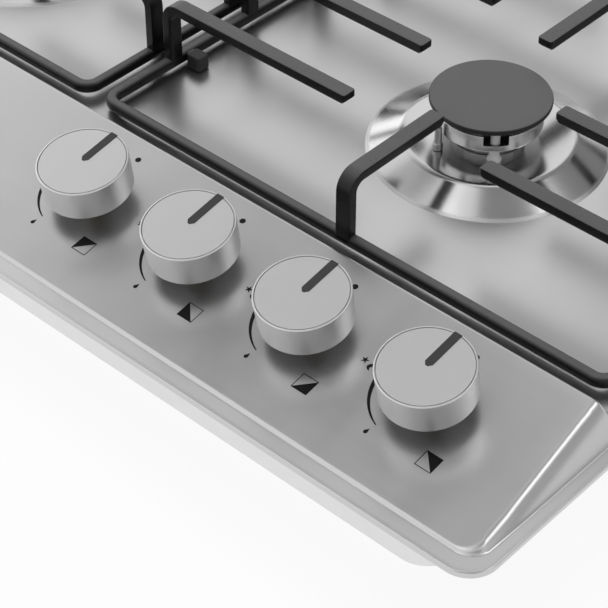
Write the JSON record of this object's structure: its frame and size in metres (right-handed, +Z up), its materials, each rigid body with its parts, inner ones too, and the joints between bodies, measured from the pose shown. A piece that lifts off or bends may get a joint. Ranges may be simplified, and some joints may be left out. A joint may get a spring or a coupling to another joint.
{
  "type": "gas cooktop",
  "caption": "Built-in gas hob: pressed steel top with a sloping knob panel, burners with lift-off caps and crowns, lift-off pan supports, and taps, rail and pipes in a shallow box.",
  "frame": {"origin": "under the middle of the steel top, on the plane of the bottom box's underside", "axes": "+X to the user's right across the front, +Y from the front edge to the back, +Z up"},
  "size_m": [0.59, 0.51, 0.0894],
  "materials": {
    "brushed_steel": "fine brushed, satin",
    "galvanised_steel": "plain zinc-coated",
    "foam_seal": "matt foam",
    "black_enamel": "semi-matt vitreous enamel",
    "cap_enamel": "matt grey enamel",
    "polished_aluminium": "turned and polished",
    "cast_aluminium": "as cast",
    "aluminium_pipe": "drawn",
    "knob_metal": "satin",
    "ceramic": "glazed white",
    "black_rubber": "matt",
    "brass": "machined",
    "grey_plastic": "moulded"
  },
  "bodies": {
    "hob": {"hob_top": "brushed_steel", "bottom_box": "galvanised_steel", "worktop_seal": "foam_seal", "gas_rail": "cast_aluminium", "gas_inlet_pipe": "brass", "ignition_module": "grey_plastic", "burner_cup_front_left": "cast_aluminium", "igniter_front_left": "ceramic", "thermocouple_front_left": "brass", "burner_cup_rear_left": "cast_aluminium", "igniter_rear_left": "ceramic", "thermocouple_rear_left": "brass", "burner_cup_rear_right": "cast_aluminium", "igniter_rear_right": "ceramic", "thermocouple_rear_right": "brass", "burner_cup_front_right": "cast_aluminium", "igniter_front_right": "ceramic", "thermocouple_front_right": "brass", "tap_body_rear_left": "cast_aluminium", "knob_collar_rear_left": "black_rubber", "gas_pipe_rear_left": "aluminium_pipe", "tap_body_front_left": "cast_aluminium", "knob_collar_front_left": "black_rubber", "gas_pipe_front_left": "aluminium_pipe", "tap_body_front_right": "cast_aluminium", "knob_collar_front_right": "black_rubber", "gas_pipe_front_right": "aluminium_pipe", "tap_body_rear_right": "cast_aluminium", "knob_collar_rear_right": "black_rubber", "gas_pipe_rear_right": "aluminium_pipe"},
    "support_right": {"pan_support_right": "black_enamel", "support_foot_right_1": "black_rubber", "support_foot_right_2": "black_rubber", "support_foot_right_3": "black_rubber", "support_foot_right_4": "black_rubber"},
    "support_left": {"pan_support_left": "black_enamel", "support_foot_left_1": "black_rubber", "support_foot_left_2": "black_rubber", "support_foot_left_3": "black_rubber", "support_foot_left_4": "black_rubber"},
    "crown_front_left": {"burner_crown_front_left": "polished_aluminium"},
    "cap_front_left": {"burner_cap_front_left": "cap_enamel"},
    "crown_rear_left": {"burner_crown_rear_left": "polished_aluminium"},
    "cap_rear_left": {"burner_cap_rear_left": "cap_enamel"},
    "crown_rear_right": {"burner_crown_rear_right": "polished_aluminium"},
    "cap_rear_right": {"burner_cap_rear_right": "cap_enamel"},
    "crown_front_right": {"burner_crown_front_right": "polished_aluminium"},
    "cap_front_right": {"burner_cap_front_right": "cap_enamel"},
    "plug_rear_left": {"tap_plug_rear_left": "brass"},
    "dial_rear_left": {"tap_stem_rear_left": "brass", "knob_rear_left": "knob_metal"},
    "plug_front_left": {"tap_plug_front_left": "brass"},
    "dial_front_left": {"tap_stem_front_left": "brass", "knob_front_left": "knob_metal"},
    "plug_front_right": {"tap_plug_front_right": "brass"},
    "dial_front_right": {"tap_stem_front_right": "brass", "knob_front_right": "knob_metal"},
    "plug_rear_right": {"tap_plug_rear_right": "brass"},
    "dial_rear_right": {"tap_stem_rear_right": "brass", "knob_rear_right": "knob_metal"}
  },
  "joints": [
    {"name": "turn_rear_left", "type": "hinge", "parent": "hob", "child": "plug_rear_left", "pos_m": [0.0475, -0.2026, 0.05241], "axis": [0, -0.1754, 0.9845], "range_deg": [0, 155]},
    {"name": "press_rear_left", "type": "slide", "parent": "plug_rear_left", "child": "dial_rear_left", "axis": [0, -0.1754, 0.9845], "range_m": [-0.0035, 0], "stiffness_N_per_m": 1500, "springref_m": 0.002},
    {"name": "turn_front_left", "type": "hinge", "parent": "hob", "child": "plug_front_left", "pos_m": [0.1087, -0.2026, 0.05241], "axis": [0, -0.1754, 0.9845], "range_deg": [0, 155]},
    {"name": "press_front_left", "type": "slide", "parent": "plug_front_left", "child": "dial_front_left", "axis": [0, -0.1754, 0.9845], "range_m": [-0.0035, 0], "stiffness_N_per_m": 1500, "springref_m": 0.002},
    {"name": "turn_front_right", "type": "hinge", "parent": "hob", "child": "plug_front_right", "pos_m": [0.1699, -0.2026, 0.05241], "axis": [0, -0.1754, 0.9845], "range_deg": [0, 155]},
    {"name": "press_front_right", "type": "slide", "parent": "plug_front_right", "child": "dial_front_right", "axis": [0, -0.1754, 0.9845], "range_m": [-0.0035, 0], "stiffness_N_per_m": 1500, "springref_m": 0.002},
    {"name": "turn_rear_right", "type": "hinge", "parent": "hob", "child": "plug_rear_right", "pos_m": [0.2311, -0.2026, 0.05241], "axis": [0, -0.1754, 0.9845], "range_deg": [0, 155]},
    {"name": "press_rear_right", "type": "slide", "parent": "plug_rear_right", "child": "dial_rear_right", "axis": [0, -0.1754, 0.9845], "range_m": [-0.0035, 0], "stiffness_N_per_m": 1500, "springref_m": 0.002},
    {"name": "lift_support_right", "type": "slide", "parent": "hob", "child": "support_right", "axis": [0, 0, 1], "range_m": [0, 0.06]},
    {"name": "lift_support_left", "type": "slide", "parent": "hob", "child": "support_left", "axis": [0, 0, 1], "range_m": [0, 0.06]},
    {"name": "lift_crown_front_left", "type": "slide", "parent": "hob", "child": "crown_front_left", "axis": [0, 0, 1], "range_m": [0, 0.03]},
    {"name": "lift_cap_front_left", "type": "slide", "parent": "crown_front_left", "child": "cap_front_left", "axis": [0, 0, 1], "range_m": [0, 0.04]},
    {"name": "lift_crown_rear_left", "type": "slide", "parent": "hob", "child": "crown_rear_left", "axis": [0, 0, 1], "range_m": [0, 0.03]},
    {"name": "lift_cap_rear_left", "type": "slide", "parent": "crown_rear_left", "child": "cap_rear_left", "axis": [0, 0, 1], "range_m": [0, 0.04]},
    {"name": "lift_crown_rear_right", "type": "slide", "parent": "hob", "child": "crown_rear_right", "axis": [0, 0, 1], "range_m": [0, 0.03]},
    {"name": "lift_cap_rear_right", "type": "slide", "parent": "crown_rear_right", "child": "cap_rear_right", "axis": [0, 0, 1], "range_m": [0, 0.04]},
    {"name": "lift_crown_front_right", "type": "slide", "parent": "hob", "child": "crown_front_right", "axis": [0, 0, 1], "range_m": [0, 0.03]},
    {"name": "lift_cap_front_right", "type": "slide", "parent": "crown_front_right", "child": "cap_front_right", "axis": [0, 0, 1], "range_m": [0, 0.04]}
  ]
}
